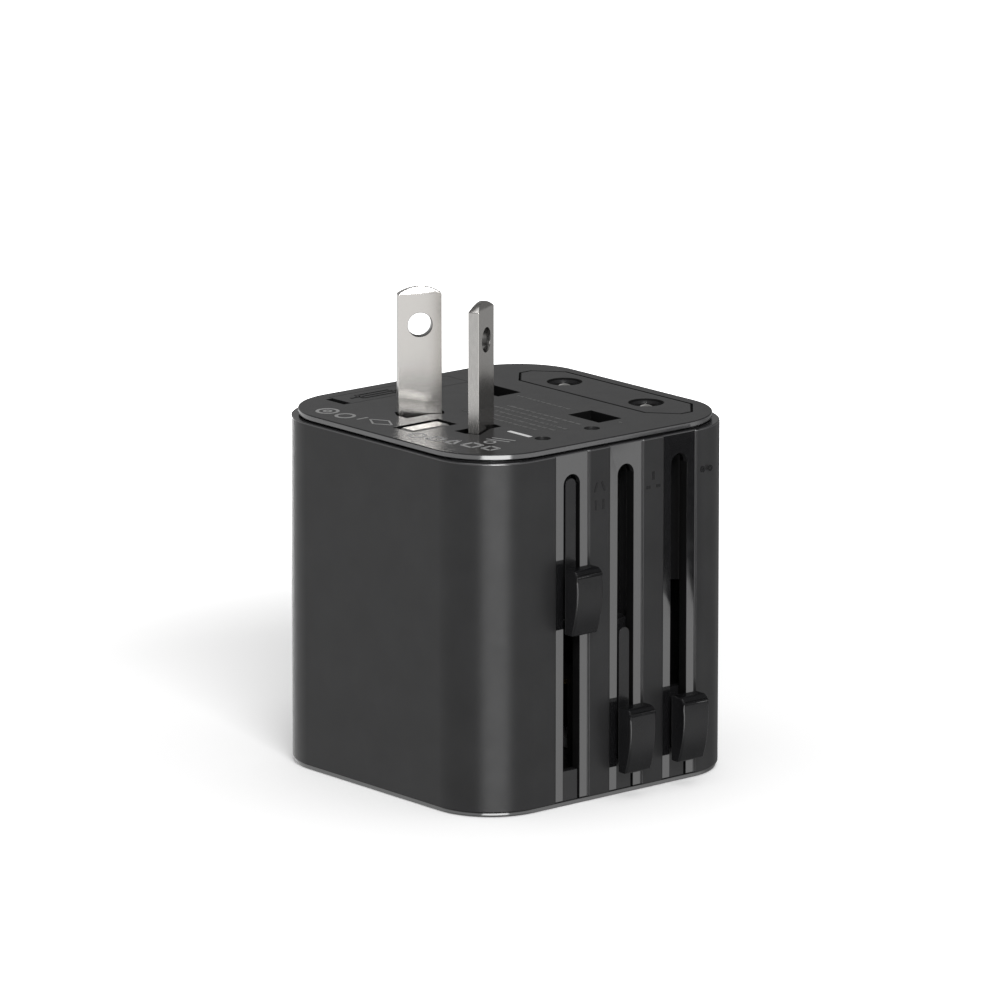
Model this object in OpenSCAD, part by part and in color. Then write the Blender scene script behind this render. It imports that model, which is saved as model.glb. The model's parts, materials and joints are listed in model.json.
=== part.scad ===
// Universal travel adapter: a rounded block whose plug pins slide out of its top plate.
// Origin: bottom centre of the casing. +Z runs along the pins, the slider face looks along -Y.

/* [Casing] */
// Width of the casing along X
body_w = 49.5; // [49:0.1:50.5]
// Depth of the casing along Y, without the knobs
body_d = 48.8; // [48.4:0.1:49.6]
// Height from the rim under the socket plate to the top of the plug plate
body_h = 52.3; // [52:0.1:53]
// Radius of the casing's upright corners
corner_r = 9.6; // [9:0.1:10]
// Wall thickness of the casing
wall = 1.8; // [1.7:0.05:1.9]

/* [Sliders] */
// Distance between neighbouring slots
slot_pitch = 10.05; // [9.9:0.05:10.1]
// Width of each slot through the casing
slot_w = 3.05; // [2.8:0.05:3.2]
// Width of each polished channel around a slot
channel_w = 6.2; // [5.8:0.1:6.4]
// Depth of the polished channels
channel_depth = 0.25; // [0.15:0.05:0.35]
// Height of a slider knob
knob_h = 9.6; // [9:0.1:10]
// Width of a slider knob
knob_w = 4.8; // [4.4:0.1:5]

/* [Blades for US and AU sockets] */
// Width of a blade
blade_w = 6.3; // [6.1:0.05:6.4]
// Thickness of a blade
blade_t = 1.6; // [1.4:0.05:1.65]
// Length of a blade above the plug plate
blade_len = 18.5; // [17.5:0.1:19]
// Angle between a blade and its parallel position
blade_turn = 30; // [20:1:30]
// Travel of the US and AU slider
us_travel = 21.8; // [20:0.1:21.8]

/* [Pins for UK sockets] */
// Spacing of the live and neutral pins, and of the earth pin from their line
uk_pitch = 22.2; // [22:0.1:22.4]
// Travel of the UK slider
uk_travel = 22.8; // [22:0.1:22.8]

/* [Pins for EU sockets] */
// Spacing of the two round pins
eu_pitch = 18; // [17.5:0.1:18.6]
// Radius of a round pin
eu_pin_r = 2; // [1.9:0.05:2]
// Travel of the six-sided block
block_travel = 16; // [12:0.5:16]
// Travel of the pins through the block
pin_travel = 19; // [18:0.5:19]

/* [Hidden] */
$fn = 64;
e = 0.01;

// Colours
shell_c = [0.10, 0.10, 0.105];
knob_c = [0.07, 0.07, 0.075];
inner_c = [0.35, 0.35, 0.37];
blade_c = [0.74, 0.72, 0.69];
brass_c = [0.78, 0.62, 0.30];
spring_c = [0.60, 0.62, 0.65];

// Casing levels and inner space
fit_gap = 0.05;
sleeve_z0 = 0.6;
sleeve_z1 = body_h - 1.1;
in_w = body_w - 2 * wall;
in_d = body_d - 2 * wall;
in_r = corner_r - wall;
face_y = -body_d / 2;
in_face_y = face_y + wall;

// Plug plate: flange above the sleeve and skirt inside it
plate_w = body_w - 0.9;
plate_d = body_d - 1.2;
plate_r = 10.4;
flange_z = body_h - 0.85;
skirt_z = body_h - 3.3;

// Socket plate
base_top = 3;
tongue_top = 5;
tongue_w = 2.8;
tongue_recess = 0.5;

// Posts for the case screws: [x, y]
post_r = 1.8;
posts = [[-19.3, -18.3], [-19.3, 18.3], [19.2, 18.6], [7, -19]];
screw_r = 0.98;
pilot_r = 1;
screw_len = 12;
head_r = 1.75;
head_h = 1.3;

// Plug pattern: all pins share one centre line along X
axis_y = -1.3;
uk_x = 6.3;
uk_earth_x = uk_x - uk_pitch;
uk_side_t = 3.95;
uk_side_w = 6.35;
uk_earth_w = 7.95;
uk_earth_t = 3.95;
uk_side_tip = body_h + 17.7 - uk_travel;
uk_earth_tip = body_h - 0.05;
pin_gap = 0.2;

// Blade pivots, set off the blade's middle so the spacing suits both sockets
us_pitch = 12.7;
pivot_off = 1;
blade_x = -10.43;
blade_root_z = 48.1;
blade_hole_r = 1.75;
blade_hole_z = body_h + 13;
blade_shoulder = 1.05;
stem_r = 2.5;
slot_clear = 0.28;

// EU block and pins
eu_x = 17.85;
block_w = 8.9;
block_flat = 27.7;
block_len = 35.5;
block_z0 = 27.8;
block_top = body_h;
eu_hole_r = 2.35;
eu_bore_r = 2.05;
eu_tip_z = block_top - 0.3;

// Slider positions along X
slot_mid_x = 1.95;
us_slot_x = slot_mid_x - slot_pitch;
uk_slot_x = slot_mid_x;
eu_slot_x = slot_mid_x + slot_pitch;
slot_top = 48.15;
knob_z0 = 3.6;
strip_w = 1.95;
strip_top = 24.3;
neck_z0 = knob_z0 + 1.7;
neck_z1 = knob_z0 + knob_h - 0.7;
slider_z0 = knob_z0 + 1;
strip_recess = 0.2;
flange_t = 1.2;
flange_w = 5.2;
flange_y = in_face_y + 0.3;
knob_gap = 0.95;
knob_depth = 2.9;
knob_arc_r = 19;
knob_peak = 3;

// Carriages
us_car_z0 = 41.6;
us_car_h = 6.4;
uk_car_z0 = 18.2;
uk_car_h = 7.2;
uk_arm_h = 2.2;
eu_car_z0 = 4;
eu_car_h = 4.5;
link_y = flange_y + flange_t;
us_face_x = -6.8;
uk_face_x = 3;
eu_face_x = 13.3;
detent_t = 0.2;

// Contacts, housing and chassis
housing_z0 = 5;
housing_z1 = 17.9;
socket_eu_x = -8.2;
socket_eu_off = 9.5;
socket_eu_r = 2.6;
socket_us_x = -0.75;
aperture_gap = 0.3;
contact_z0 = 6;
contact_z1 = 15.6;
leaf_t = 0.4;
wall_x = 11.2;
wall_t = 1.5;

// Shutter
shutter_z0 = 3.3;
shutter_h = 1.4;

// Fuse
fuse_y = 19.1;
fuse_x = -3.8;
fuse_z = 45.9;
fuse_r = 2.5;
fuse_len = 20;
door_w = 22;
door_d = 5;
door_t = 1.9;
notch_w = 1.3;

// ---- shared shapes ----

module round_rect(w, d, r) {
    square([w - 2 * r, d], center = true);
    square([w, d - 2 * r], center = true);
    for (sx = [-1, 1], sy = [-1, 1])
        translate([sx * (w / 2 - r), sy * (d / 2 - r)]) circle(r, $fn = 96);
}

module box(x0, x1, y0, y1, z0, z1) {
    translate([x0, y0, z0]) cube([x1 - x0, y1 - y0, z1 - z0]);
}

// Block about a centre in plan, between two levels
module plan_box(cx, cy, w, d, z0, z1) {
    translate([cx - w / 2, cy - d / 2, z0]) cube([w, d, z1 - z0]);
}

module post(x, y, r, z0, z1) {
    translate([x, y, z0]) cylinder(h = z1 - z0, r = r);
}

// Long six-sided outline of the EU block, grown by g
module block_outline(g = 0) {
    half_w = block_w / 2 + g;
    half_f = block_flat / 2 + g / 2;
    half_l = block_len / 2 + g;
    nose = 1.1;
    polygon([[-half_w, -half_f], [-nose, -half_l], [nose, -half_l], [half_w, -half_f],
             [half_w, half_f], [nose, half_l], [-nose, half_l], [-half_w, half_f]]);
}

// Plan of a blade about its pivot, grown by g
module blade_plan(g = 0) {
    translate([-pivot_off, 0]) square([blade_w + 2 * g, blade_t + 2 * g], center = true);
}

// Opening a blade can turn in: side 1 is neutral, side -1 is live
module fan_plan(side) {
    far = blade_w / 2 + pivot_off + slot_clear;
    near = blade_w / 2 - pivot_off + slot_clear;
    half = blade_t / 2 + slot_clear;
    waist = half * tan(blade_turn / 2);
    function spot(x, y, turn) = [x * cos(turn) + y * sin(turn), side * (y * cos(turn) - x * sin(turn))];
    polygon([
        spot(-far, -half, 0), spot(-far, half, 0),
        spot(-far, -half, blade_turn), spot(-far, half, blade_turn),
        spot(waist, half, 0),
        spot(near, half, 0), spot(near, half, blade_turn),
        spot(near, -half, 0), spot(near, -half, blade_turn),
        spot(-waist, -half, 0)]);
}

// Plan of the socket openings for one pole
module pole_apertures(side, g = 0) {
    translate([uk_x, axis_y + side * uk_pitch / 2])
        square([uk_side_t + 2 * aperture_gap + g, uk_side_w + 2 * aperture_gap + g], center = true);
    translate([socket_eu_x, axis_y + side * socket_eu_off]) circle(socket_eu_r + g / 2);
    translate([socket_us_x, axis_y + side * us_pitch / 2]) fan_plan(side);
}

// ---- casing ----

module sleeve() {
    color(shell_c) difference() {
        translate([0, 0, sleeve_z0]) linear_extrude(sleeve_z1 - sleeve_z0)
            round_rect(body_w, body_d, corner_r);
        linear_extrude(body_h) round_rect(in_w, in_d, in_r);
        for (k = [-1, 0, 1]) {
            x = slot_mid_x + k * slot_pitch;
            box(x - channel_w / 2, x + channel_w / 2, face_y - 1, face_y + channel_depth, 0, body_h);
            box(x - slot_w / 2, x + slot_w / 2, face_y - 1, in_face_y + 1, 0, slot_top - slot_w / 2);
            translate([x, face_y - 1, slot_top - slot_w / 2]) rotate([-90, 0, 0])
                cylinder(h = wall + 2, r = slot_w / 2);
        }
    }
}

module top_plate() {
    color(shell_c) difference() {
        union() {
            translate([0, 0, flange_z]) linear_extrude(body_h - flange_z)
                round_rect(plate_w, plate_d, plate_r);
            translate([0, 0, skirt_z]) linear_extrude(flange_z - skirt_z)
                round_rect(in_w - 2 * fit_gap, in_d - 2 * fit_gap, in_r - fit_gap);
            for (p = posts) post(p[0], p[1], post_r, base_top, skirt_z + 1);
        }
        for (p = posts) post(p[0], p[1], pilot_r, base_top - 1, base_top + screw_len);
        // UK pin openings
        for (side = [-1, 1])
            plan_box(uk_x, axis_y + side * uk_pitch / 2, uk_side_t + 2 * pin_gap,
                     uk_side_w + 2 * pin_gap, skirt_z - 1, body_h + 1);
        plan_box(uk_earth_x, axis_y, uk_earth_w + 2 * pin_gap, uk_earth_t + 2 * pin_gap,
                 skirt_z - 1, body_h + 1);
        // Openings the blades slide and turn in
        for (side = [-1, 1])
            translate([blade_x, axis_y + side * us_pitch / 2, skirt_z - 1]) linear_extrude(5)
                fan_plan(side);
        // Window of the EU block
        translate([eu_x, axis_y, skirt_z - 1]) linear_extrude(5) block_outline(0.15);
        // Seat of the fuse door, and the way down to the fuse
        plan_box(fuse_x, fuse_y, door_w + 0.16, door_d + 0.16, body_h - door_t - 0.05, body_h + 1);
        plan_box(fuse_x - door_w / 2, fuse_y - 0.3, 2 * notch_w, 4.2, body_h - notch_w, body_h + 1);
        plan_box(fuse_x, fuse_y, door_w - 1.4, door_d - 1, skirt_z - 1, body_h);
        // Two shallow dimples
        for (p = [[-8.4, -18.2], [1.1, -17.8]]) post(p[0], p[1], 1.15, body_h - 0.3, body_h + 1);
    }
}

module fuse_door() {
    color(shell_c) {
        plan_box(fuse_x, fuse_y, door_w, door_d, body_h - door_t, body_h);
        plan_box(fuse_x, fuse_y, door_w - 1.6, door_d - 1.2, skirt_z + 0.2, body_h - door_t + e);
    }
}

module socket_plate() {
    color(shell_c) difference() {
        union() {
            linear_extrude(sleeve_z0) round_rect(body_w - 0.6, body_d - 0.6, corner_r - 0.3);
            linear_extrude(base_top)
                round_rect(in_w - 2 * fit_gap, in_d - 2 * fit_gap, in_r - fit_gap);
            for (k = [-1, 0, 1]) {
                x = slot_mid_x + k * slot_pitch;
                box(x - tongue_w / 2, x + tongue_w / 2, face_y + tongue_recess, in_face_y + 1,
                    sleeve_z0 - e, base_top);
                box(x - tongue_w / 2, x + tongue_w / 2, face_y + tongue_recess,
                    in_face_y - fit_gap, base_top - e, tongue_top);
            }
            // Peg the shutter spring pushes on
            box(-4.9, -4.2, axis_y - 1.5, axis_y + 1.5, base_top - e, shutter_z0 + shutter_h);
        }
        for (side = [-1, 1])
            translate([0, 0, -1]) linear_extrude(base_top + 2) pole_apertures(side);
        plan_box(uk_earth_x, axis_y, uk_earth_w + 2 * aperture_gap, uk_earth_t + 2 * aperture_gap,
                 -1, base_top + 1);
        for (p = posts) {
            post(p[0], p[1], pilot_r + 0.1, -1, base_top + 1);
            post(p[0], p[1], head_r + 0.1, -1, head_h + 0.2);
        }
    }
}

module case_screws() {
    color(spring_c) for (p = posts) difference() {
        union() {
            post(p[0], p[1], head_r, 0.2, head_h + 0.2);
            post(p[0], p[1], screw_r, head_h, base_top + screw_len - 1);
        }
        for (a = [0, 90]) translate([p[0], p[1], 0]) rotate(a)
            translate([-1, -0.2, 0]) cube([2, 0.4, 0.8]);
    }
}

// ---- universal socket ----

// Sliding shutter: a bar over the live and neutral openings, and a frame with its ramp at the earth
module shutter() {
    z1 = shutter_z0 + shutter_h;
    bar_d = uk_pitch + 7.2;
    ramp_x = uk_earth_x - 1.3;
    color([0.75, 0.75, 0.73]) difference() {
        union() {
            plan_box(uk_x + 0.15, axis_y, 5.7, bar_d, shutter_z0, z1);
            box(ramp_x, uk_x - 2, axis_y - 3.5, axis_y + 3.5, shutter_z0, z1);
        }
        box(ramp_x + 1.2, -6.4, axis_y - 2.6, axis_y + 2.6, 0, z1 + 1);
        box(-5.2, uk_x - 2.7, axis_y - 2.6, axis_y + 2.6, 0, z1 + 1);
        // Ramp the earth pin pushes on
        translate([ramp_x + 1.2, axis_y, shutter_z0]) rotate([0, -40, 0])
            translate([0, -3, -2]) cube([3, 6, 2]);
    }
}

// Flat serpentine spring between the peg and the shutter bar
module shutter_spring() {
    wire = 0.3;
    turns = 6;
    x0 = -4.2;
    len = uk_x - 2.7 - x0;
    step = (len - wire) / turns;
    color(spring_c) for (i = [0:turns]) {
        plan_box(x0 + wire / 2 + i * step, axis_y, wire, 3.6, shutter_z0 + 0.5, shutter_z0 + 0.9);
        if (i < turns) {
            side = i % 2 == 0 ? 1 : -1;
            plan_box(x0 + wire / 2 + (i + 0.5) * step, axis_y + side * (1.8 - wire / 2), step + wire,
                     wire, shutter_z0 + 0.5, shutter_z0 + 0.9);
        }
    }
}

module contact_housing() {
    color(inner_c) difference() {
        union() {
            box(-21.5, 9.9, -15.4, 16, housing_z0, housing_z1);
            box(-2, 9.9, -17.2, -15.3, housing_z0, housing_z1);
            // Feet on the socket plate
            box(-17, 9.9, 13.9, 16, base_top, housing_z0 + e);
            box(-2, 9.9, -17.2, -16.5, base_top, housing_z0 + e);
        }
        for (side = [-1, 1]) {
            y0 = axis_y + side * 3.1;
            y1 = axis_y + side * 14.9;
            box(-11, 9.1, min(y0, y1), max(y0, y1), housing_z0 - 1, contact_z1);
            translate([0, 0, contact_z1 - e]) linear_extrude(4) pole_apertures(side, 0.4);
        }
        plan_box(uk_earth_x, axis_y, 9.6, 6, housing_z0 - 1, housing_z1 + 1);
    }
}

// Brass contact for one pole: a strip with windows and sprung leaves at its pins
module pole_contact(side) {
    uk_y = axis_y + side * uk_pitch / 2;
    eu_y = axis_y + side * socket_eu_off;
    us_y = axis_y + side * us_pitch / 2;
    leaf_z1 = contact_z1 - 0.5;
    color(brass_c) {
        difference() {
            plan_box(-0.9, axis_y + side * 9, 19.9, 11.2, contact_z1 - 0.5, contact_z1);
            translate([0, 0, contact_z1 - 1]) linear_extrude(2) pole_apertures(side, 0.4);
        }
        for (s = [-1, 1]) {
            plan_box(uk_x + s * (uk_side_t / 2 + 0.5), uk_y, leaf_t, 5, contact_z0, leaf_z1 + e);
            plan_box(socket_eu_x, eu_y + s * 3.15, 3, leaf_t, contact_z0, leaf_z1 + e);
            plan_box(socket_us_x + side * s * 0.8, us_y + s * 1.75, 1.4, leaf_t, contact_z0, leaf_z1 + e);
        }
    }
}

module live_contact() {
    pole_contact(-1);
}

module neutral_contact() {
    pole_contact(1);
}

module earth_contact() {
    color(brass_c) for (s = [-1, 1])
        plan_box(uk_earth_x, axis_y + s * 2.8, 7, leaf_t, contact_z0, housing_z1 - 1);
}

// ---- inner frame ----

module chassis() {
    color(inner_c) difference() {
        union() {
            box(wall_x, wall_x + wall_t, -13.5, 16, housing_z1, skirt_z);
            box(-20.5, wall_x + e, 14.9, 16, housing_z1, skirt_z);
        }
        for (side = [-1, 1])
            plan_box(wall_x + 1, axis_y + side * 7, 4, 0.9, housing_z1 - 1, skirt_z - 1);
    }
}

// Brass rail that reaches both sides of the chassis wall
module pole_rail(side) {
    y = axis_y + side * 7;
    color(brass_c) {
        plan_box(wall_x - 0.15, y, 0.3, 4, housing_z1 + 0.2, skirt_z - 1.2);
        box(wall_x - 0.1, wall_x + wall_t + 0.2, y - 0.4, y + 0.4, housing_z1 + 0.2, skirt_z - 1.2);
    }
}

module live_rail() {
    pole_rail(-1);
}

module neutral_rail() {
    pole_rail(1);
}

module fuse_tray() {
    color(inner_c) difference() {
        plan_box(fuse_x, fuse_y, fuse_len + 4.4, 6, fuse_z - 3.9, skirt_z);
        plan_box(fuse_x, fuse_y, fuse_len + 3, 5.4, fuse_z - 3.2, skirt_z + 1);
    }
}

module fuse_tube() {
    color([0.85, 0.83, 0.78]) translate([fuse_x, fuse_y, fuse_z]) rotate([0, 90, 0])
        difference() {
            cylinder(h = fuse_len - 1, r = fuse_r - 0.25, center = true);
            cylinder(h = fuse_len, r = fuse_r - 1.1, center = true);
        }
}

module fuse_end_caps() {
    color(spring_c) translate([fuse_x, fuse_y, fuse_z]) for (s = [0, 180]) rotate(s)
        rotate([0, 90, 0]) translate([0, 0, fuse_len / 2 - 4.5]) difference() {
            cylinder(h = 4.5, r = fuse_r);
            translate([0, 0, -1]) cylinder(h = 5, r = fuse_r - 0.24);
        }
}

module fuse_clips() {
    color(brass_c) for (s = [-1, 1]) difference() {
        plan_box(fuse_x + s * 7.5, fuse_y, 3, 5.4, fuse_z - 3.1, fuse_z + 1.2);
        translate([fuse_x + s * 7.5 - 3, fuse_y, fuse_z]) rotate([0, 90, 0])
            cylinder(h = 6, r = fuse_r + 0.02);
        plan_box(fuse_x + s * 7.5, fuse_y, 4, 4.4, fuse_z, fuse_z + 3);
    }
}

// ---- sliders and knobs: modelled at the retracted height, lifted by lift ----

// Flange behind the casing wall, neck through the slot, and a cover strip above it up to strip_z
module slider(x, lift, strip_z) {
    color(knob_c) translate([0, 0, lift]) {
        box(x - flange_w / 2, x + flange_w / 2, flange_y, link_y, slider_z0, max(strip_z, neck_z1) + 0.9);
        box(x - strip_w / 2, x + strip_w / 2, face_y - knob_gap, flange_y + e, neck_z0, neck_z1);
        if (strip_z > neck_z1) {
            box(x - strip_w / 2, x + strip_w / 2, face_y + channel_depth + strip_recess, flange_y + e,
                neck_z1 - e, strip_z - strip_w / 2);
            translate([x, face_y + channel_depth + strip_recess, strip_z - strip_w / 2])
                rotate([-90, 0, 0])
                cylinder(h = flange_y - face_y - channel_depth - strip_recess + e, r = strip_w / 2);
        }
    }
}

// Knob with a crowned front that falls away towards its lower end
module knob(x, lift) {
    back_y = face_y - knob_gap;
    color(knob_c) translate([x, back_y, knob_z0 + lift]) intersection() {
        translate([-knob_w / 2, -knob_depth, 0]) cube([knob_w, knob_depth, knob_h]);
        translate([-knob_w, knob_arc_r - knob_depth, knob_h - knob_peak]) rotate([0, 90, 0])
            cylinder(h = 2 * knob_w, r = knob_arc_r);
    }
}

// Leaf spring bowed out of a carriage's side
module detent(x, y, z, side) {
    color(spring_c) plan_box(x + side * detent_t / 2, y, detent_t, 3.4, z, z + 4);
    color(spring_c) plan_box(x + side * detent_t, y, 2 * detent_t, 1, z + 1.4, z + 2.6);
}

// ---- US and AU group ----

module us_carriage() {
    z0 = us_car_z0;
    z1 = us_car_z0 + us_car_h;
    color(inner_c) difference() {
        union() {
            box(-15.5, us_face_x, -12.2, -4.6, z0, z1);
            box(-15.5, us_face_x, 2, 9.6, z0, z1);
            box(-22.6, -20.7, -9.5, 7, z0, z1);
            box(-22.6, -15.4, -9.5, -6, z0, z1);
            box(-22.6, -15.4, 3.4, 7, z0, z1);
            box(us_slot_x - 2, us_slot_x + 2, link_y, -12.1, z0, z1);
        }
        for (side = [-1, 1])
            post(blade_x, axis_y + side * us_pitch / 2, stem_r + fit_gap, z0 - 1, z1 + 1);
    }
}

module us_slider() {
    slider(us_slot_x, us_travel, strip_top + 1.4);
}

module us_knob() {
    knob(us_slot_x, us_travel);
}

module us_detent() {
    detent(us_face_x, axis_y - 7, us_car_z0 + 1, 1);
}

// Blade with a domed, bevelled tip, a locking hole and a round stem that turns in the carriage
module blade(side) {
    top = body_h + blade_len;
    tip_r = (pow(blade_w / 2, 2) + pow(blade_shoulder, 2)) / (2 * blade_shoulder);
    color(blade_c) translate([blade_x, axis_y + side * us_pitch / 2, 0])
        rotate(-side * blade_turn) {
            difference() {
                intersection() {
                    translate([0, 0, blade_root_z]) linear_extrude(top - blade_root_z) blade_plan();
                    union() {
                        translate([-pivot_off, 5, top - tip_r]) rotate([90, 0, 0])
                            cylinder(h = 10, r = tip_r, $fn = 128);
                        box(-9, 9, -5, 5, blade_root_z - 1, top - tip_r);
                    }
                    translate([-9, 0, 0]) rotate([90, 0, 90]) linear_extrude(18)
                        polygon([[-blade_t / 2, blade_root_z - 1], [blade_t / 2, blade_root_z - 1],
                                 [blade_t / 2, top - blade_shoulder], [blade_t / 2 - 0.45, top],
                                 [0.45 - blade_t / 2, top], [-blade_t / 2, top - blade_shoulder]]);
                }
                translate([-pivot_off, 5, blade_hole_z]) rotate([90, 0, 0])
                    cylinder(h = 10, r = blade_hole_r);
            }
            translate([0, 0, us_car_z0 - 0.8]) cylinder(h = blade_root_z - us_car_z0 + 0.8 + e, r = stem_r);
        }
}

module neutral_blade() {
    blade(1);
}

module live_blade() {
    blade(-1);
}

// Retaining ring under the carriage, on the blade's stem
module blade_clip(side) {
    color(spring_c) translate([blade_x, axis_y + side * us_pitch / 2, us_car_z0 - 0.7])
        difference() {
            cylinder(h = 0.6, r = 3.4);
            translate([0, 0, -1]) cylinder(h = 3, r = stem_r);
        }
}

module neutral_blade_clip() {
    blade_clip(1);
}

module live_blade_clip() {
    blade_clip(-1);
}

// ---- UK group ----

module uk_carriage() {
    z0 = uk_car_z0;
    z1 = uk_car_z0 + uk_car_h;
    color(inner_c) difference() {
        union() {
            box(uk_face_x, 10.5, axis_y - 15.7, axis_y + 15.7, z0, z1);
            box(uk_earth_x - 4.3, 3.1, axis_y - 2.3, axis_y + 2.3, z1 - uk_arm_h, z1);
            box(uk_slot_x - 2, uk_slot_x + 2, link_y, -16.9, z0, z1);
            box(uk_slot_x - 2, 3.1, -17, -12.5, z0, z1);
        }
        for (side = [-1, 1])
            plan_box(uk_x, axis_y + side * uk_pitch / 2, uk_side_t, uk_side_w, z0 - 1, z1 + 1);
        plan_box(uk_earth_x, axis_y, uk_earth_w - 0.6, uk_earth_t - 0.8, z0, z1 + 1);
    }
}

module uk_slider() {
    slider(uk_slot_x, 0, strip_top);
}

module uk_knob() {
    knob(uk_slot_x, 0);
}

module uk_detent() {
    detent(uk_face_x, axis_y + 7, uk_car_z0 + 1, -1);
}

// Straight pin with bevelled edges at its tip
module tapered_pin(x, y, w, d, z0, z1) {
    bevel = 0.8;
    color(blade_c) translate([x, y, 0]) intersection() {
        plan_box(0, 0, w, d, z0, z1);
        rotate([90, 0, 0]) linear_extrude(d + 2, center = true)
            polygon([[-w / 2 - 1, z0], [w / 2 + 1, z0], [w / 2 + 1, z1 - bevel - 1],
                     [w / 2 - bevel, z1], [bevel - w / 2, z1], [-w / 2 - 1, z1 - bevel - 1]]);
        rotate([90, 0, 90]) linear_extrude(w + 2, center = true)
            polygon([[-d / 2 - 1, z0], [d / 2 + 1, z0], [d / 2 + 1, z1 - bevel - 1],
                     [d / 2 - bevel, z1], [bevel - d / 2, z1], [-d / 2 - 1, z1 - bevel - 1]]);
    }
}

module uk_live_pin() {
    tapered_pin(uk_x, axis_y - uk_pitch / 2, uk_side_t, uk_side_w, uk_car_z0, uk_side_tip);
}

module uk_neutral_pin() {
    tapered_pin(uk_x, axis_y + uk_pitch / 2, uk_side_t, uk_side_w, uk_car_z0, uk_side_tip);
}

module uk_earth_pin() {
    tapered_pin(uk_earth_x, axis_y, uk_earth_w, uk_earth_t, uk_car_z0 + uk_car_h, uk_earth_tip);
    color(blade_c) plan_box(uk_earth_x, axis_y, uk_earth_w - 0.6, uk_earth_t - 0.8,
                            uk_car_z0 + uk_car_h - uk_arm_h, uk_car_z0 + uk_car_h + e);
}

// ---- EU group ----

module eu_block() {
    color(shell_c) difference() {
        translate([eu_x, axis_y, block_z0]) linear_extrude(block_top - block_z0) block_outline();
        for (side = [-1, 1]) {
            post(eu_x, axis_y + side * eu_pitch / 2, eu_bore_r, block_z0 - 1, body_h + 1);
            post(eu_x, axis_y + side * eu_pitch / 2, eu_hole_r, block_top - 1, body_h + 1);
        }
    }
}

module eu_carriage() {
    z1 = eu_car_z0 + eu_car_h;
    color(inner_c) difference() {
        union() {
            box(eu_face_x, 22.2, axis_y - 12.8, axis_y + 12.8, eu_car_z0, z1);
            box(eu_slot_x - 1.1, 15, link_y, axis_y - 12.7, eu_car_z0, z1);
        }
        for (side = [-1, 1])
            post(eu_x, axis_y + side * eu_pitch / 2, eu_pin_r, eu_car_z0 - 1, z1 + 1);
    }
}

module eu_slider() {
    slider(eu_slot_x, 0, 0);
}

module eu_knob() {
    knob(eu_slot_x, 0);
}

module eu_detent() {
    detent(eu_face_x, axis_y, eu_car_z0 + 0.25, -1);
}

// Round pin with a domed tip
module round_pin(side) {
    color(blade_c) translate([eu_x, axis_y + side * eu_pitch / 2, 0]) {
        translate([0, 0, eu_car_z0]) cylinder(h = eu_tip_z - eu_pin_r - eu_car_z0, r = eu_pin_r);
        translate([0, 0, eu_tip_z - eu_pin_r]) sphere(eu_pin_r);
    }
}

module eu_live_pin() {
    round_pin(-1);
}

module eu_neutral_pin() {
    round_pin(1);
}

sleeve();
top_plate();
fuse_door();
socket_plate();
shutter();
shutter_spring();
contact_housing();
chassis();
live_contact();
neutral_contact();
earth_contact();
live_rail();
neutral_rail();
fuse_tray();
fuse_tube();
fuse_end_caps();
fuse_clips();
case_screws();
us_carriage();
us_slider();
us_knob();
us_detent();
neutral_blade();
live_blade();
neutral_blade_clip();
live_blade_clip();
uk_carriage();
uk_slider();
uk_knob();
uk_detent();
uk_live_pin();
uk_neutral_pin();
uk_earth_pin();
eu_block();
eu_carriage();
eu_slider();
eu_knob();
eu_detent();
eu_live_pin();
eu_neutral_pin();
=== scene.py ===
import json
import math
import random

import bmesh
import bpy
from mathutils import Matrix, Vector


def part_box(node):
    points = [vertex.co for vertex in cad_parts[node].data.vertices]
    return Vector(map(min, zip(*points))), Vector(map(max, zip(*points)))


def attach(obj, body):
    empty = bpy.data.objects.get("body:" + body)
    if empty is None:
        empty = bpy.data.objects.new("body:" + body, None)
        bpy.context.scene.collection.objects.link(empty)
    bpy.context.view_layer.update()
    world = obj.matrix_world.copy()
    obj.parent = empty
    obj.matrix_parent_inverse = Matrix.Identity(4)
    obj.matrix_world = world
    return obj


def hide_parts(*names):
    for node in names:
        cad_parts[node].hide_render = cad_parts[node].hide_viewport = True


# Universal travel adapter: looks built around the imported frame, in metres.

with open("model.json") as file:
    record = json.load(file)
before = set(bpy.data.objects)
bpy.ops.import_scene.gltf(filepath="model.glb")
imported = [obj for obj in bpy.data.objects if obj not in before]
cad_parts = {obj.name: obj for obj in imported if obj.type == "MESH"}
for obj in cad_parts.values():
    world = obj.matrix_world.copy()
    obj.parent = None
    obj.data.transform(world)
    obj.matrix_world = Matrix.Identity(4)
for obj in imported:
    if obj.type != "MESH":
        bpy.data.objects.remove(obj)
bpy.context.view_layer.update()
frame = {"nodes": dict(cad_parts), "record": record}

MM = 0.001
nodes = frame["nodes"]


def box_of(node):
    low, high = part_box(node)
    return Vector(low), Vector(high)


sleeve_low, sleeve_high = box_of("sleeve")
plate_low, plate_high = box_of("top_plate")
plate_z = plate_high.z
face_y = sleeve_low.y

# ---- camera: the photograph's viewpoint ----

VIEW_AZIMUTH = math.radians(-40.2)
VIEW_ELEVATION = math.radians(13.8)
VIEW_DISTANCE = 1.2014
VIEW_TARGET = Vector((0, 0, 0.030))
VIEW_SHIFT = (-0.0049, 0.0593)
VIEW_LENS = 300.74
SENSOR_WIDTH = 36


def direction(azimuth, elevation):
    """Unit vector from the object towards a viewer; angles in radians, azimuth 0 in front."""
    level = math.cos(elevation)
    return Vector((math.sin(azimuth) * level, -math.cos(azimuth) * level, math.sin(elevation)))


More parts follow.
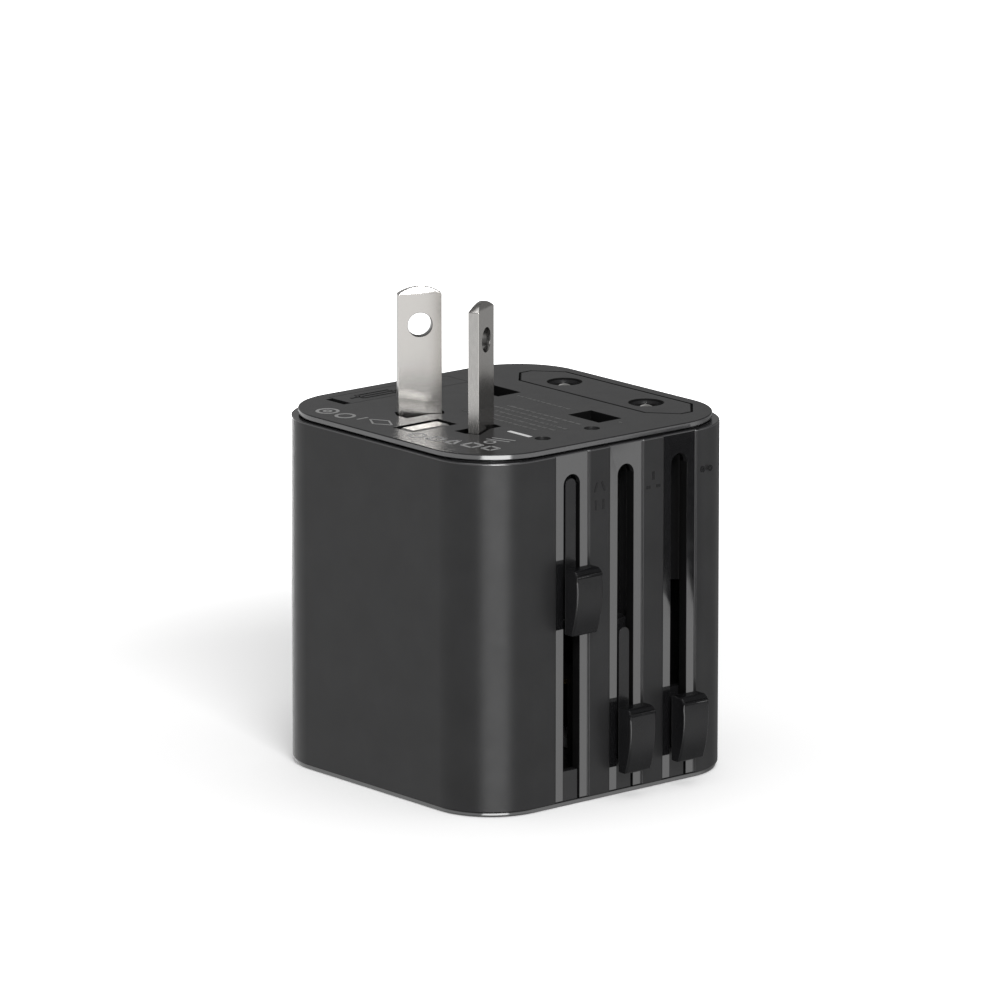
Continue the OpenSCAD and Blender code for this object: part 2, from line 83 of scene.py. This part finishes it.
def make_camera():
    data = bpy.data.cameras.new("camera")
    data.lens = VIEW_LENS
    data.sensor_width = SENSOR_WIDTH
    data.shift_x, data.shift_y = VIEW_SHIFT
    data.clip_start = 0.05
    data.clip_end = 60
    camera = bpy.data.objects.new("camera", data)
    bpy.context.scene.collection.objects.link(camera)
    back = direction(VIEW_AZIMUTH, VIEW_ELEVATION)
    camera.location = VIEW_TARGET + back * VIEW_DISTANCE
    camera.rotation_euler = (-back).to_track_quat("-Z", "Y").to_euler()
    bpy.context.scene.camera = camera


make_camera()

# ---- materials ----

PLASTIC_GRAIN = 9000
PLASTIC_TONE = 160
PLASTIC_GLOSS = 420
TONE_SPREAD = 0.12


def new_material(name):
    material = bpy.data.materials.new(name)
    material.use_nodes = True
    tree = material.node_tree
    return material, tree, tree.nodes["Principled BSDF"]


def noise(tree, scale, detail=3.0, stretch=(1, 1, 1)):
    """Noise over object coordinates; stretch scales it along each axis. Scale is per metre."""
    coord = tree.nodes.new("ShaderNodeTexCoord")
    mapping = tree.nodes.new("ShaderNodeMapping")
    mapping.inputs["Scale"].default_value = stretch
    texture = tree.nodes.new("ShaderNodeTexNoise")
    texture.inputs["Scale"].default_value = scale
    texture.inputs["Detail"].default_value = detail
    tree.links.new(coord.outputs["Object"], mapping.inputs["Vector"])
    tree.links.new(mapping.outputs["Vector"], texture.inputs["Vector"])
    return texture.outputs["Fac"]


def ramp(tree, source, low, high, start=0.3, end=0.7):
    """Colour ramp between two greys or colours."""
    node = tree.nodes.new("ShaderNodeValToRGB")
    for element, place, value in zip(node.color_ramp.elements, (start, end), (low, high)):
        element.position = place
        element.color = (value, value, value, 1) if isinstance(value, float) else (*value, 1)
    tree.links.new(source, node.inputs["Fac"])
    return node.outputs["Color"]


def bump(tree, shader, source, strength, distance):
    node = tree.nodes.new("ShaderNodeBump")
    node.inputs["Strength"].default_value = strength
    node.inputs["Distance"].default_value = distance
    tree.links.new(source, node.inputs["Height"])
    tree.links.new(node.outputs["Normal"], shader.inputs["Normal"])


def plastic(name, colour, rough, ior=1.5, grain_depth=0.000006, spread=0.06):
    """Moulded plastic: fine grain, slow changes of tone and gloss."""
    material, tree, shader = new_material(name)
    shader.inputs["IOR"].default_value = ior
    low = tuple(c * (1 - TONE_SPREAD) for c in colour)
    high = tuple(c * (1 + TONE_SPREAD) for c in colour)
    tree.links.new(ramp(tree, noise(tree, PLASTIC_TONE), low, high), shader.inputs["Base Color"])
    patches = ramp(tree, noise(tree, PLASTIC_GLOSS, 4), rough - spread, rough + spread)
    tree.links.new(patches, shader.inputs["Roughness"])
    bump(tree, shader, noise(tree, PLASTIC_GRAIN, 2), 0.35, grain_depth)
    return material


def metal(name, low, high, rough, stretch=(1, 1, 0.03), scale=5200):
    """Plated or rolled metal with fine brushing along its length."""
    material, tree, shader = new_material(name)
    shader.inputs["Metallic"].default_value = 1.0
    brushing = noise(tree, scale, 4, stretch)
    tree.links.new(ramp(tree, brushing, low, high), shader.inputs["Base Color"])
    tree.links.new(ramp(tree, brushing, rough - 0.03, rough + 0.04), shader.inputs["Roughness"])
    bump(tree, shader, brushing, 0.1, 0.0000002)
    return material


SATIN = plastic("satin_casing", (0.012, 0.012, 0.0125), 0.36, ior=1.33, spread=0.015)
PLATE = plastic("plate_satin", (0.012, 0.012, 0.0125), 0.25, ior=1.37, grain_depth=0.000003,
                spread=0.02)
RIM = plastic("polished_edge", (0.02, 0.02, 0.021), 0.14, ior=1.95, grain_depth=0.0000006,
              spread=0.03)
GLOSS = plastic("polished_channel", (0.006, 0.006, 0.0065), 0.04, ior=2.05,
                grain_depth=0.0000001, spread=0.015)
KNOB = plastic("knob_satin", (0.005, 0.005, 0.0055), 0.22, ior=1.35, grain_depth=0.0000005)
STRIP = plastic("strip_satin", (0.008, 0.008, 0.0085), 0.2, ior=1.36, grain_depth=0.000001)
# painted shade: a near-black standing for the shade in slot walls, plate openings and the gap round
# the pin block
SHADE_BLACK = plastic("painted_shade_black", (0.0025, 0.0025, 0.0026), 0.75, ior=1.2)
INNER = plastic("inner_moulding", (0.006, 0.006, 0.0065), 0.6, ior=1.3)
SHUTTER = plastic("shutter_moulding", (0.16, 0.16, 0.165), 0.5)
NICKEL = metal("nickel_plate", (0.61, 0.592, 0.568), (0.64, 0.622, 0.598), 0.22,
               (0.3, 0.3, 1), 6000)
BRIGHT = metal("bright_nickel", (0.80, 0.79, 0.77), (0.84, 0.83, 0.81), 0.09, (1, 1, 0.3), 3000)
SHEARED = metal("nickel_sheared_edge", (0.40, 0.392, 0.38), (0.47, 0.46, 0.445), 0.25,
                (1, 1, 0.2), 4000)
# painted shade: a dark nickel for the inside of the blade holes
BORE_SHADE = metal("nickel_bore_shade", (0.12, 0.118, 0.114), (0.20, 0.196, 0.19), 0.3)
BRASS = metal("brass_strip", (0.40, 0.28, 0.10), (0.52, 0.38, 0.16), 0.35)
STEEL = metal("spring_steel", (0.42, 0.43, 0.45), (0.60, 0.61, 0.63), 0.3)
CERAMIC = plastic("glazed_ceramic", (0.72, 0.70, 0.64), 0.2)
INK = plastic("grey_print", (0.22, 0.22, 0.22), 0.6)
FAINT_INK = plastic("faint_print", (0.075, 0.075, 0.075), 0.6)
WHITE_INK = plastic("white_print", (0.55, 0.55, 0.55), 0.5)

# ---- mesh helpers ----


def piece_from(mesh_bm, name, body, slot, *materials):
    """Links a finished bmesh as a visible piece that rides on a body."""
    mesh = bpy.data.meshes.new(name)
    mesh_bm.to_mesh(mesh)
    mesh_bm.free()
    for polygon in mesh.polygons:
        polygon.use_smooth = True
    for material in materials:
        mesh.materials.append(material)
    piece = bpy.data.objects.new(name, mesh)
    bpy.context.scene.collection.objects.link(piece)
    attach(piece, body)
    return piece


def solid_of(node):
    """The node's CAD solid as a clean bmesh: welded, with flat regions as single faces."""
    bm = bmesh.new()
    bm.from_mesh(nodes[node].data)
    bm.transform(nodes[node].matrix_world)
    bmesh.ops.remove_doubles(bm, verts=bm.verts, dist=2e-6)
    bmesh.ops.dissolve_degenerate(bm, dist=1e-7, edges=bm.edges)
    bmesh.ops.dissolve_limit(bm, angle_limit=math.radians(0.6), verts=bm.verts, edges=bm.edges)
    bmesh.ops.recalc_face_normals(bm, faces=bm.faces)
    return bm


def sharp(bm, angle=28, test=lambda edge: True):
    """Edges that fold by more than an angle in degrees and pass a test."""
    limit = math.radians(angle)
    return [edge for edge in bm.edges
            if len(edge.link_faces) == 2 and edge.calc_face_angle(0) > limit and test(edge)]


def round_edges(bm, edges, width, segments=2):
    bmesh.ops.bevel(bm, geom=edges, offset=width, offset_type="OFFSET", segments=segments,
                    profile=0.5, affect="EDGES", clamp_overlap=False)


def paint(piece, choose):
    """Gives each face the material slot that choose(face) names."""
    for polygon in piece.data.polygons:
        polygon.material_index = choose(polygon)


def even_normals(piece):
    modifier = piece.modifiers.new("even_normals", "WEIGHTED_NORMAL")
    modifier.mode = "FACE_AREA"
    modifier.weight = 80
    modifier.thresh = 0.01


def finish_like(node, name, body, slot, width, *materials, angle=28, segments=2):
    """A copy of a CAD node with every sharp edge rounded, standing for that node."""
    bm = solid_of(node)
    round_edges(bm, sharp(bm, angle), width, segments)
    piece = piece_from(bm, name, body, slot, *materials)
    even_normals(piece)
    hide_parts(node)
    return piece


def body_of(node):
    return next(b for b, members in frame["record"]["behaviour"]["bodies"].items()
                if node in members)


# ---- casing ----

RIM_ROUND = 0.2 * MM
EDGE_ROUND = 0.06 * MM
CHANNEL_DEPTH = 0.25 * MM
FLANGE_HEIGHT = 0.85 * MM
SHORTEST_ROUNDED = 0.4 * MM
SAME_DEPTH = 0.05 * MM
SLOT_SPAN = 16 * MM
SLOT_REACH = 3 * MM
PLATE_RIM = 0.7 * MM
PLATE_CORNER = 27.5 * MM
PLATE_EDGE_ROUND = 0.15 * MM
OPENING_ROUND = 0.03 * MM
OPENING_EDGE = 0.3 * MM
PLATE_DEPTH = 4 * MM
SKIRT_RIM = 1.7 * MM
SKIRT_CORNER = 26.3 * MM
BASE_RIM = 20 * MM


def make_sleeve():
    bm = solid_of("sleeve")
    top, bottom = sleeve_high.z, sleeve_low.z

    def on_rim(edge):
        return all(min(abs(v.co.z - top), abs(v.co.z - bottom)) < 1e-5 for v in edge.verts)
    round_edges(bm, sharp(bm, test=on_rim), RIM_ROUND, 3)
    round_edges(bm, sharp(bm, 40, test=lambda e: e.calc_length() > SHORTEST_ROUNDED), EDGE_ROUND)
    piece = piece_from(bm, "sleeve_shell", body_of("sleeve"), "casing_plastic",
                       SATIN, GLOSS, SHADE_BLACK, RIM)

    def finish_of(face):
        if face.normal.z > 0.2 and face.center.z > top - 2 * RIM_ROUND:
            return 3
        depth = face.center.y - face_y
        if face.normal.y < -0.99 and abs(depth - CHANNEL_DEPTH) < SAME_DEPTH:
            return 1
        # slot walls just behind the face take the black of painted shade
        inside = depth > CHANNEL_DEPTH + EDGE_ROUND and abs(face.center.x) < SLOT_SPAN
        return 2 if inside and depth < SLOT_REACH and abs(face.normal.z) < 0.9 else 0
    paint(piece, finish_of)
    for polygon in piece.data.polygons:
        polygon.use_smooth = polygon.material_index != 1
    even_normals(piece)
    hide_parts("sleeve")


def make_top_plate():
    bm = solid_of("top_plate")
    flange_low = plate_z - FLANGE_HEIGHT

    def outer(place):
        across = max(abs(place.x) - plate_high.x, abs(place.y) - plate_high.y)
        return across > -PLATE_RIM or place.xy.length > PLATE_CORNER
    rim = sharp(bm, test=lambda e: all(outer(v.co) for v in e.verts))
    round_edges(bm, rim, PLATE_EDGE_ROUND, 3)
    openings = sharp(bm, test=lambda e: not any(outer(v.co) for v in e.verts))
    round_edges(bm, openings, OPENING_ROUND)
    piece = piece_from(bm, "plug_plate", body_of("top_plate"), "casing_plastic",
                       PLATE, RIM, SHADE_BLACK, SATIN)

    def finish_of(face):
        if face.center.z > plate_z - 0.01 * MM or face.center.z < flange_low - PLATE_DEPTH:
            return 0
        if face.center.z > plate_z - OPENING_EDGE and not outer(face.center):
            return 3
        if outer(face.center) and face.center.z > flange_low:
            return 1 if face.normal.z < 0.2 else 0
        # below the flange, the walls of the openings take the black of painted shade; the outer rim
        # is polished
        skirt = max(abs(face.center.x) - plate_high.x, abs(face.center.y) - plate_high.y)
        return 1 if skirt > -SKIRT_RIM or face.center.xy.length > SKIRT_CORNER else 2
    paint(piece, finish_of)
    even_normals(piece)
    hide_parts("top_plate")


make_sleeve()
make_top_plate()
finish_like("fuse_door", "fuse_cover", body_of("fuse_door"), "casing_plastic",
            OPENING_ROUND, PLATE)
base = finish_like("socket_plate", "socket_face", body_of("socket_plate"), "casing_plastic",
                   0.1 * MM, PLATE, RIM)
paint(base, lambda face: int(face.center.z < sleeve_low.z and face.normal.z > -0.5
                             and max(abs(face.center.x), abs(face.center.y)) > BASE_RIM))

# ---- sliders, knobs, block, blades and pins ----

KNOB_TOP_ROUND = 1.0 * MM
KNOB_ROUND = 0.3 * MM
STRIP_ROUND = 0.08 * MM
BLOCK_ROUND = 0.25 * MM
BLADE_ROUND = 0.07 * MM
HOLE_REACH = 1.9 * MM


def make_knob(family):
    """A slider knob: its top front edge is well rounded, the other edges slightly."""
    node = f"{family}_knob"
    low, high = box_of(node)
    bm = solid_of(node)

    def top_front(edge):
        across = abs(edge.verts[0].co.x - edge.verts[1].co.x) > 2 * MM
        return across and all(v.co.z > high.z - 0.01 * MM and v.co.y < low.y + 1 * MM
                              for v in edge.verts)
    round_edges(bm, sharp(bm, test=top_front), KNOB_TOP_ROUND, 7)
    round_edges(bm, sharp(bm, 33), KNOB_ROUND, 4)
    piece = piece_from(bm, f"{family}_knob_cap", body_of(node), "slider_plastic", KNOB)
    even_normals(piece)
    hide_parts(node)


for family in ("us", "uk", "eu"):
    make_knob(family)
    finish_like(f"{family}_slider", f"{family}_slide_strip", body_of(f"{family}_slider"),
                "slider_plastic", STRIP_ROUND, STRIP)

block = finish_like("eu_block", "round_pin_block", body_of("eu_block"), "casing_plastic",
                    BLOCK_ROUND, PLATE, SHADE_BLACK)
# the block's sloped edge faces take the black of painted shade, drawing the gap round the block
paint(block, lambda face: int(0.1 < face.normal.z < 0.97))
for side in ("neutral", "live"):
    blade = finish_like(f"{side}_blade", f"{side}_flat_blade", body_of(f"{side}_blade"),
                        "plug_metal", BLADE_ROUND, NICKEL, SHEARED, BORE_SHADE)
    mount = next(m for m in frame["record"]["mounts"] if m["name"] == f"{side}_blade_hole")
    hole, across = Vector(mount["pos_m"]), Vector(mount["axis"])

    def metal_of(face):
        reach = [blade.data.vertices[i].co - hole for i in face.vertices]
        radial = [(r - across * r.dot(across)).length for r in reach]
        # the bore of the hole takes the dark nickel: painted shade inside the hole
        if max(radial) < HOLE_REACH:
            return 2
        return 1 if abs(face.normal.dot(across)) < 0.3 and face.center.z > plate_high.z else 0
    paint(blade, metal_of)

# ---- printed and engraved marks: plain pictograms and dashes in place of lettering ----


class Surface:
    """A flat place to draw on: u and v run along it, n stands off it."""

    def __init__(self, origin, u, v, n, lift):
        self.origin, self.u, self.v, self.n = map(Vector, (origin, u, v, n))
        self.sink, self.lift = -0.02 * MM, lift

    def at(self, u, v, height):
        return self.origin + (self.u * u + self.v * v) * MM + self.n * height

    def solid(self, bm, outline):
        """A thin closed prism over a convex outline of (u, v) points in millimetres."""
        low = [bm.verts.new(self.at(u, v, self.sink)) for u, v in outline]
        high = [bm.verts.new(self.at(u, v, self.lift)) for u, v in outline]
        bm.faces.new(high)
        bm.faces.new(low[::-1])
        for i in range(len(outline)):
            j = (i + 1) % len(outline)
            bm.faces.new((low[i], low[j], high[j], high[i]))

    def line(self, bm, start, end, width):
        along = (Vector(end) - Vector(start)).normalized() * width / 2
        side = Vector((-along.y, along.x))
        a, b = Vector(start), Vector(end)
        self.solid(bm, [a - side, b - side, b + side, a + side])

    def ring(self, bm, centre, radius, width, start=0, end=360):
        steps = max(6, round((end - start) / 12))
        turns = [math.radians(start + (end - start) * i / steps) for i in range(steps + 1)]
        spots = [Vector((math.cos(t), math.sin(t))) for t in turns]
        middle = Vector(centre)
        for p, q in zip(spots, spots[1:]):
            self.solid(bm, [middle + p * (radius - width / 2), middle + p * (radius + width / 2),
                            middle + q * (radius + width / 2), middle + q * (radius - width / 2)])

    def path(self, bm, points, width):
        for a, b in zip(points, points[1:]):
            self.line(bm, a, b, width)

    def square(self, bm, centre, half, width):
        x, y = centre
        self.path(bm, [(x - half, y - half), (x + half, y - half), (x + half, y + half),
                       (x - half, y + half), (x - half, y - half)], width)


def finish_marks(bm, name, material):
    bmesh.ops.recalc_face_normals(bm, faces=bm.faces)
    piece = piece_from(bm, name, "casing", "casing_plastic", material)
    for polygon in piece.data.polygons:
        polygon.use_smooth = False


def print_plate():
    top = Surface((0, 0, plate_z), (1, 0, 0), (0, 1, 0), (0, 0, 1), 0.012 * MM)
    bm = bmesh.new()
    # along the plain side: a ring with a dot, a ring, a dash and a diamond
    top.ring(bm, (-20.6, 14.9), 1.5, 0.5)
    top.ring(bm, (-20.6, 14.9), 0.5, 0.4)
    top.ring(bm, (-20.6, 10.9), 1.3, 0.5)
    top.line(bm, (-20.8, 8.0), (-18.8, 8.0), 0.35)
    top.path(bm, [(-20.8, 4.4), (-19.3, 6.9), (-17.9, 4.4), (-19.3, 2.0), (-20.8, 4.4)], 0.28)
    # round the near corner: a ring, three squares, a triangle, a small ring and two bars
    top.ring(bm, (-20.8, -5.4), 1.2, 0.5)
    for place, half in (((-20.1, -8.7), 1.0), ((-18.7, -15.0), 1.1), ((-18.0, -18.2), 0.9)):
        top.square(bm, place, half, 0.5)
    top.path(bm, [(-20.4, -10.8), (-18.0, -11.7), (-20.4, -12.8), (-20.4, -10.8)], 0.5)
    top.ring(bm, (-15.6, -15.2), 0.75, 0.35)
    for x in (-14.7, -13.6):
        top.line(bm, (x, -13.3), (x + 1.3, -16.9), 0.3)
    finish_marks(bm, "printed_symbols", INK)

    bm = bmesh.new()
    top.line(bm, (-9.1, -11.6), (-9.1, -16.4), 0.75)
    finish_marks(bm, "printed_bar", WHITE_INK)

    # rows of dashes where the small print is
    bm = bmesh.new()
    spread = random.Random(7)
    for row, (low, high) in enumerate(((-13.5, 3.0), (-15.5, 1.5), (-16.0, -0.5), (-12.0, 2.5),
                                       (-15.0, 1.0))):
        x = -5.6 + 1.75 * row
        y = low
        while y < high:
            length = spread.uniform(0.35, 1.5)
            top.line(bm, (x, y), (x, min(y + length, high)), 0.55)
            y += length + 0.32
    y = -6.6
    while y < 5:
        length = spread.uniform(0.3, 1.1)
        top.line(bm, (6.6, y), (6.6, y + length), 0.45)
        y += length + 0.3
    for y in (-17.6, 15.0):
        top.line(bm, (6.6, y - 0.35), (6.6, y + 0.35), 0.3)
    finish_marks(bm, "printed_rows", FAINT_INK)

    # fuse sign on the fuse cover: a box with a line through it
    bm = bmesh.new()
    sign = Surface((0, 0, plate_z), (1, 0, 0), (0, 1, 0), (0, 0, 1), 0.06 * MM)
    sign.path(bm, [(-11.2, 18.2), (-5.2, 18.2), (-5.2, 20.2), (-11.2, 20.2), (-11.2, 18.2)], 0.3)
    sign.line(bm, (-12.8, 19.2), (-3.6, 19.2), 0.3)
    finish_marks(bm, "fuse_sign", KNOB)


def mark_ribs():
    rib = Surface((0, face_y, 0), (1, 0, 0), (0, 0, 1), (0, -1, 0), 0.03 * MM)
    bm = bmesh.new()
    # US and AU: two slanted blades over two upright blades
    for side in (-1, 1):
        rib.line(bm, (-3.1 + side * 0.95, 44.9), (-3.1 + side * 0.4, 46.3), 0.34)
        rib.line(bm, (-3.1 + side * 0.7, 42.3), (-3.1 + side * 0.7, 43.7), 0.34)
    # UK: one upright pin over two level pins
    rib.line(bm, (6.95, 45.1), (6.95, 46.3), 0.42)
    for side in (-1, 1):
        rib.line(bm, (6.95 + side * 0.55, 44.1), (6.95 + side * 1.3, 44.1), 0.42)
        # EU: two round pins
        rib.ring(bm, (17.0 + side * 0.7, 45.2), 0.3, 0.3)
    finish_marks(bm, "slider_symbols", KNOB)


print_plate()
mark_ribs()

# ---- finishes of the CAD nodes that show as they are ----

FINISH = {
    INNER: ("contact_housing", "chassis", "fuse_tray", "us_carriage", "uk_carriage", "eu_carriage"),
    SHUTTER: ("shutter",),
    BRASS: ("live_contact", "neutral_contact", "earth_contact", "live_rail", "neutral_rail",
            "fuse_clips"),
    STEEL: ("shutter_spring", "us_detent", "uk_detent", "eu_detent", "case_screws",
            "neutral_blade_clip", "live_blade_clip", "fuse_end_caps"),
    CERAMIC: ("fuse_tube",),
    NICKEL: ("uk_live_pin", "uk_neutral_pin"),
    BRIGHT: ("uk_earth_pin", "eu_live_pin", "eu_neutral_pin"),
}
for material, members in FINISH.items():
    for node in members:
        mesh = nodes[node].data
        mesh.materials.clear()
        mesh.materials.append(material)

# ---- light, floor and world ----

AMBIENT = 0.42
STUDIO_LOW = 1.3
STUDIO_HIGH = 0.62
FLOOR_GLOW = 0.17
FLOOR_FAR_GLOW = 1.2
GLOW_START = 0.08
GLOW_END = 0.21
FLOOR_REACH = 6.0
DARK_SIDE_AZIMUTH = math.radians(105)
UP = (0, 0, 1)
# The flag on the floor, in metres. Its slanted edge was projected from where the reflection
# ends in the photograph, and rounded to the millimetre.
FLAG_OUTLINE = ((0.062, -0.077), (0.148, -0.189), (0.162, -0.208), (0.202, -0.208),
                (0.095, -0.077))


def make_floor():
    bm = bmesh.new()
    bmesh.ops.create_grid(bm, x_segments=8, y_segments=8, size=FLOOR_REACH)
    mesh = bpy.data.meshes.new("studio_floor")
    bm.to_mesh(mesh)
    bm.free()
    floor = bpy.data.objects.new("studio_floor", mesh)
    floor.location.z = -0.1 * MM
    bpy.context.scene.collection.objects.link(floor)
    material, tree, shader = new_material("pale_floor")
    shade = ramp(tree, noise(tree, 3), 0.80, 0.82)
    tree.links.new(shade, shader.inputs["Base Color"])
    shader.inputs["Roughness"].default_value = 0.9
    shader.inputs["Specular IOR Level"].default_value = 0.1
    # the floor glows a little, and more away from the object, so it meets the white backdrop: the
    # glow is painted light, and its dimming near the object is painted shade that sets where the
    # soft shadow fades out
    coord = tree.nodes.new("ShaderNodeTexCoord")
    reach_node = tree.nodes.new("ShaderNodeVectorMath")
    reach_node.operation = "LENGTH"
    tree.links.new(coord.outputs["Object"], reach_node.inputs[0])
    glow = tree.nodes.new("ShaderNodeMapRange")
    glow.interpolation_type = "SMOOTHSTEP"
    for name, value in (("From Min", GLOW_START), ("From Max", GLOW_END),
                        ("To Min", FLOOR_GLOW), ("To Max", FLOOR_FAR_GLOW)):
        glow.inputs[name].default_value = value
    tree.links.new(reach_node.outputs["Value"], glow.inputs["Value"])
    tree.links.new(glow.outputs["Result"], shader.inputs["Emission Strength"])
    shader.inputs["Emission Color"].default_value = (1, 1, 1, 1)
    # its back is clear, so the underside of the object can be looked at
    clear = tree.nodes.new("ShaderNodeBsdfTransparent")
    side = tree.nodes.new("ShaderNodeNewGeometry")
    one_sided = tree.nodes.new("ShaderNodeMixShader")
    tree.links.new(side.outputs["Backfacing"], one_sided.inputs["Fac"])
    tree.links.new(shader.outputs["BSDF"], one_sided.inputs[1])
    tree.links.new(clear.outputs["BSDF"], one_sided.inputs[2])
    output = next(n for n in tree.nodes if n.type == "OUTPUT_MATERIAL")
    tree.links.new(one_sided.outputs["Shader"], output.inputs["Surface"])
    mesh.materials.append(material)
    floor.visible_glossy = False


def make_world():
    """White to the camera, even light on the floor, and a studio that glossy surfaces mirror:
    bright low down, dim above, dimmer still to the right."""
    world = bpy.data.worlds.new("studio")
    world.use_nodes = True
    tree = world.node_tree
    seen = tree.nodes["Background"]
    seen.inputs["Color"].default_value = (1, 1, 1, 1)
    ambient = tree.nodes.new("ShaderNodeBackground")
    ambient.inputs["Color"].default_value = (AMBIENT, AMBIENT, AMBIENT, 1)
    mirrored = tree.nodes.new("ShaderNodeBackground")
    coord = tree.nodes.new("ShaderNodeTexCoord")

    def facing(axis, low, high, start, end):
        """Strength from low to high as the cosine to an axis goes from start to end."""
        dot = tree.nodes.new("ShaderNodeVectorMath")
        dot.operation = "DOT_PRODUCT"
        dot.inputs[1].default_value = axis
        tree.links.new(coord.outputs["Generated"], dot.inputs[0])
        spread = tree.nodes.new("ShaderNodeMapRange")
        for name, value in zip(("From Min", "From Max", "To Min", "To Max"),
                               (start, end, low, high)):
            spread.inputs[name].default_value = value
        spread.interpolation_type = "SMOOTHSTEP"
        tree.links.new(dot.outputs["Value"], spread.inputs["Value"])
        return spread.outputs["Result"]
    level = facing(UP, STUDIO_LOW, STUDIO_HIGH, -0.12, 0.12)
    dark_side = facing(direction(DARK_SIDE_AZIMUTH, 0), 1.0, 0.3, 0.55, 0.95)
    underside = facing(UP, 0.32, 1.0, -0.62, -0.36)
    overhead = facing(UP, 1.0, 0.3, 0.42, 0.62)
    for part in (dark_side, underside, overhead):
        product = tree.nodes.new("ShaderNodeMath")
        product.operation = "MULTIPLY"
        tree.links.new(level, product.inputs[0])
        tree.links.new(part, product.inputs[1])
        level = product.outputs["Value"]
    tree.links.new(level, mirrored.inputs["Strength"])
    path = tree.nodes.new("ShaderNodeLightPath")
    bounced = tree.nodes.new("ShaderNodeMixShader")
    shown = tree.nodes.new("ShaderNodeMixShader")
    tree.links.new(path.outputs["Is Glossy Ray"], bounced.inputs["Fac"])
    tree.links.new(ambient.outputs["Background"], bounced.inputs[1])
    tree.links.new(mirrored.outputs["Background"], bounced.inputs[2])
    tree.links.new(path.outputs["Is Camera Ray"], shown.inputs["Fac"])
    tree.links.new(bounced.outputs["Shader"], shown.inputs[1])
    tree.links.new(seen.outputs["Background"], shown.inputs[2])
    tree.links.new(shown.outputs["Shader"], tree.nodes["World Output"].inputs["Surface"])
    world.cycles.sampling_method = "NONE"
    bpy.context.scene.world = world


def make_flag():
    """A black studio flag off to the right, seen only in reflections: it cuts the glossy channels
    with one slanted edge."""
    bm = bmesh.new()
    bm.faces.new([bm.verts.new((x, y, 0)) for x, y in FLAG_OUTLINE])
    mesh = bpy.data.meshes.new("studio_flag")
    bm.to_mesh(mesh)
    bm.free()
    flag = bpy.data.objects.new("studio_flag", mesh)
    bpy.context.scene.collection.objects.link(flag)
    mesh.materials.append(SHADE_BLACK)
    flag.visible_camera = False
    flag.visible_diffuse = False
    flag.visible_shadow = False


def softbox(name, azimuth, elevation, distance, width, height, power):
    """An area light aimed at the object: degrees, metres and watts."""
    data = bpy.data.lights.new(name, "AREA")
    data.shape = "RECTANGLE"
    data.size = width
    data.size_y = height
    data.energy = power
    lamp = bpy.data.objects.new(name, data)
    bpy.context.scene.collection.objects.link(lamp)
    back = direction(math.radians(azimuth), math.radians(elevation))
    lamp.location = back * distance + Vector((0, 0, 0.03))
    lamp.rotation_euler = (-back).to_track_quat("-Z", "Y").to_euler()
    lamp.visible_camera = False
    return lamp


make_floor()
make_world()
make_flag()
softbox("key", -28, 32, 1.3, 0.5, 0.5, 13)
softbox("top", 0, 88, 1.4, 1.2, 1.2, 7.5)
rim_light = softbox("rim_back", 152, -6, 1.2, 0.9, 0.3, 6)
strip_light = softbox("corner_strip", -32, -10, 1.0, 0.8, 0.5, 7.5)
for lamp, lit_names in ((strip_light, ("sleeve_shell", "plug_plate", "socket_face",
                                       "us_knob_cap", "uk_knob_cap", "eu_knob_cap")),
                        (rim_light, ("sleeve_shell",))):
    lit = bpy.data.collections.new("lit_by_" + lamp.name)
    for name in lit_names:
        lit.objects.link(bpy.data.objects[name])
    lamp.light_linking.receiver_collection = lit

bpy.context.scene.view_settings.view_transform = "Standard"
